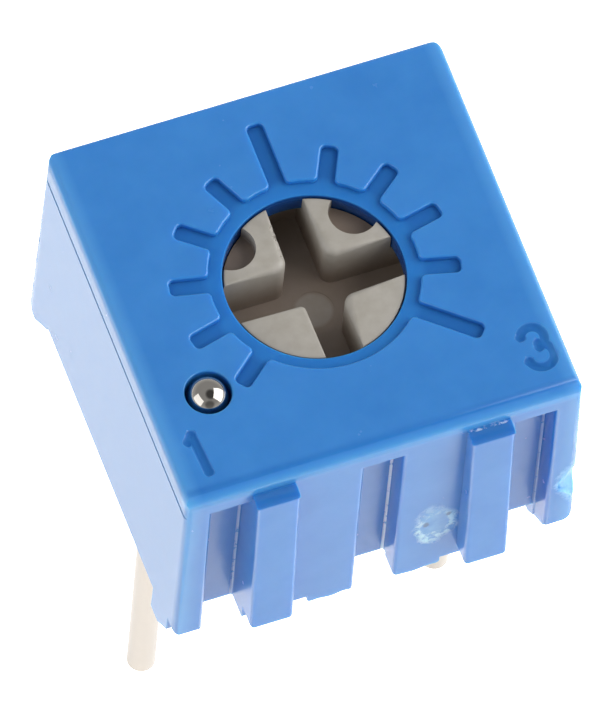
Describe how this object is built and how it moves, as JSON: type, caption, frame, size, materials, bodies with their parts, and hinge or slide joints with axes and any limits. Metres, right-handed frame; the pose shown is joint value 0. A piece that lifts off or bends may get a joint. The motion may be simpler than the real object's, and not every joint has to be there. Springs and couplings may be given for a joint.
{
  "type": "trimmer potentiometer",
  "caption": "Square sealed single-turn trimmer with a cross-slotted rotor behind a dial window, a steel vent ball and round pins below.",
  "frame": {"origin": "on the rotor axis, in the plane of the circuit board's surface that the four feet stand on", "axes": "+Z along the rotor axis, out of the dial; +Y from the front wall with its ribs towards the wiper terminal's wall; +X from terminal 1 to terminal 3"},
  "size_m": [0.0066, 0.0069, 0.011],
  "materials": {
    "housing_plastic": "moulded, satin gloss",
    "rotor_plastic": "moulded, fine matt",
    "seal_rubber": "moulded silicone",
    "wiper_metal": "stamped spring alloy, bright",
    "alumina": "fired white alumina",
    "cermet": "fired cermet film",
    "conductor_film": "fired silver film",
    "tinned_copper": "tin plated wire",
    "solder": "solder, bright",
    "epoxy": "cast epoxy",
    "ball_steel": "polished steel"
  },
  "bodies": {
    "housing": {"housing": "housing_plastic", "ceramic_element": "alumina", "resistive_track": "cermet", "collector_film": "conductor_film", "end_film_1": "conductor_film", "end_film_3": "conductor_film", "terminal_1": "tinned_copper", "terminal_2": "tinned_copper", "terminal_3": "tinned_copper", "solder_joint_1": "solder", "solder_joint_2": "solder", "solder_joint_3": "solder", "potting": "epoxy", "vent_ball": "ball_steel"},
    "rotor": {"rotor": "rotor_plastic", "rotor_seal": "seal_rubber", "wiper": "wiper_metal"}
  },
  "joints": [
    {"name": "adjuster", "type": "hinge", "parent": "housing", "child": "rotor", "pos_m": [0, 0, 0.00368], "axis": [0, 0, 1], "range_deg": [-130, 130]}
  ]
}
